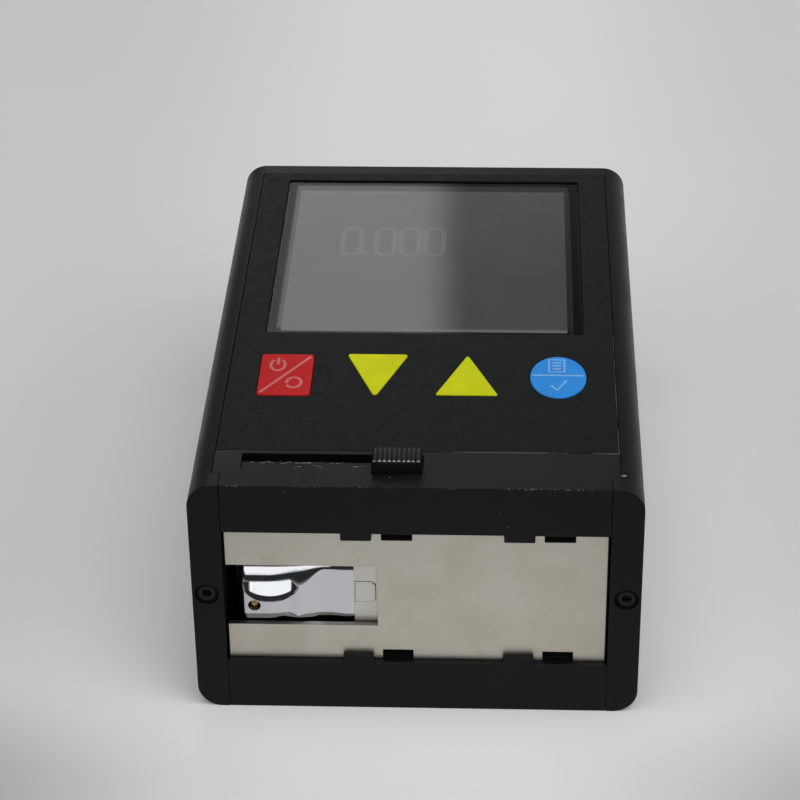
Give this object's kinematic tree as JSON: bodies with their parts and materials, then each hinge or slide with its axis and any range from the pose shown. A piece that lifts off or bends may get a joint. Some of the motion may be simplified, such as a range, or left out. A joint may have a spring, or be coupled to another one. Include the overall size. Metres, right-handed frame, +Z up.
{
  "type": "surface roughness tester",
  "caption": "Pocket stylus surface roughness tester lying on its back: colour display, four keys and a sliding shutter in front of a motor-driven pick-up.",
  "frame": {"origin": "middle of the underside, on the surface that the instrument lies on", "axes": "+Z up through the display, +Y from the measuring face to the rear cap, +X to the right seen from the measuring face"},
  "size_m": [0.07, 0.106, 0.0445],
  "materials": {
    "housing_paint": "satin",
    "frame_paint": "matte",
    "panel_black": "matte",
    "plate_nickel": "satin",
    "shutter_nickel": "satin",
    "pickup_chrome": "polished",
    "stylus_brass": "turned",
    "stylus_diamond": "polished",
    "key_red": "satin",
    "key_yellow": "satin",
    "key_blue": "satin",
    "window_glass": "polished",
    "display_grey": "gloss",
    "tray_steel": "satin",
    "gasket_rubber": "matte",
    "lamp_lens": "gloss",
    "knob_black": "satin",
    "link_black": "satin",
    "screw_black": "satin",
    "bright_steel": "polished",
    "spring_steel": "satin",
    "machined_aluminium": "satin",
    "bush_bronze": "turned",
    "nut_acetal": "satin",
    "motor_can": "satin",
    "switch_black": "matte",
    "board_green": "satin",
    "chip_black": "matte",
    "battery_wrap": "satin",
    "foam_grey": "matte",
    "socket_steel": "satin"
  },
  "bodies": {
    "root": {"housing": "housing_paint", "rear_cap": "housing_paint", "front_frame": "frame_paint", "left_cheek": "frame_paint", "right_cheek": "frame_paint", "front_screws": "screw_black", "rear_screws": "screw_black", "bracket_screws": "bright_steel", "board_screws": "bright_steel", "top_panel": "panel_black", "keypad_board": "board_green", "key_domes": "spring_steel", "display_window": "window_glass", "display_panel": "display_grey", "display_tray": "tray_steel", "window_gasket": "gasket_rubber", "status_lamp": "lamp_lens", "base_plate": "plate_nickel", "drive_bracket": "machined_aluminium", "guide_rods": "bright_steel", "screw_bearings": "bush_bronze", "drive_motor": "motor_can", "limit_switches": "switch_black", "main_board": "board_green", "board_standoffs": "bush_bronze", "board_chips": "chip_black", "battery": "battery_wrap", "battery_pad": "foam_grey", "charge_socket": "socket_steel", "buzzer": "chip_black"},
    "shutter": {"shutter_plate": "shutter_nickel", "slider_link": "link_black", "slider_knob": "knob_black"},
    "carriage": {"carriage": "machined_aluminium", "pivot_pin": "bright_steel", "carriage_bushes": "bush_bronze", "carriage_nut": "nut_acetal", "pickup_spring": "spring_steel"},
    "pickup": {"pickup_body": "pickup_chrome"},
    "stylus": {"stylus_holder": "stylus_brass", "stylus_tip": "stylus_diamond"},
    "lead_screw": {"lead_screw": "bright_steel", "screw_gear": "bush_bronze"},
    "pinion": {"motor_pinion": "bush_bronze"},
    "power_key": {"power_key": "key_red"},
    "down_key": {"down_key": "key_yellow"},
    "up_key": {"up_key": "key_yellow"},
    "menu_key": {"menu_key": "key_blue"}
  },
  "joints": [
    {"name": "shutter_slide", "type": "slide", "parent": "root", "child": "shutter", "axis": [-1, 0, 0], "range_m": [0, 0.02]},
    {"name": "carriage_slide", "type": "slide", "parent": "root", "child": "carriage", "axis": [1, 0, 0], "range_m": [0, 0.006]},
    {"name": "pickup_float", "type": "hinge", "parent": "carriage", "child": "pickup", "pos_m": [0.002, -0.046, 0.02], "axis": [0, 0, -1], "range_deg": [0, 8]},
    {"name": "stylus_float", "type": "slide", "parent": "pickup", "child": "stylus", "axis": [0, 1, 0], "range_m": [0, 0.0003], "stiffness_N_per_m": 40},
    {"name": "lead_screw_spin", "type": "hinge", "parent": "root", "child": "lead_screw", "pos_m": [0, -0.0265, 0.0212], "axis": [1, 0, 0], "range_deg": [0, 2160]},
    {"name": "pinion_spin", "type": "hinge", "parent": "root", "child": "pinion", "pos_m": [0.0226, -0.0193, 0.0212], "axis": [-1, 0, 0], "range_deg": [0, 4320]},
    {"name": "power_key_press", "type": "slide", "parent": "root", "child": "power_key", "axis": [0, 0, -1], "range_m": [0, 0.00035], "stiffness_N_per_m": 3000},
    {"name": "down_key_press", "type": "slide", "parent": "root", "child": "down_key", "axis": [0, 0, -1], "range_m": [0, 0.00035], "stiffness_N_per_m": 3000},
    {"name": "up_key_press", "type": "slide", "parent": "root", "child": "up_key", "axis": [0, 0, -1], "range_m": [0, 0.00035], "stiffness_N_per_m": 3000},
    {"name": "menu_key_press", "type": "slide", "parent": "root", "child": "menu_key", "axis": [0, 0, -1], "range_m": [0, 0.00035], "stiffness_N_per_m": 3000}
  ],
  "couplings": [
    {"joint": "pickup_float", "follows": "shutter_slide", "rad_per_m": 6.9},
    {"joint": "lead_screw_spin", "follows": "carriage_slide", "rad_per_m": 6283.2},
    {"joint": "pinion_spin", "follows": "carriage_slide", "rad_per_m": 12566}
  ]
}
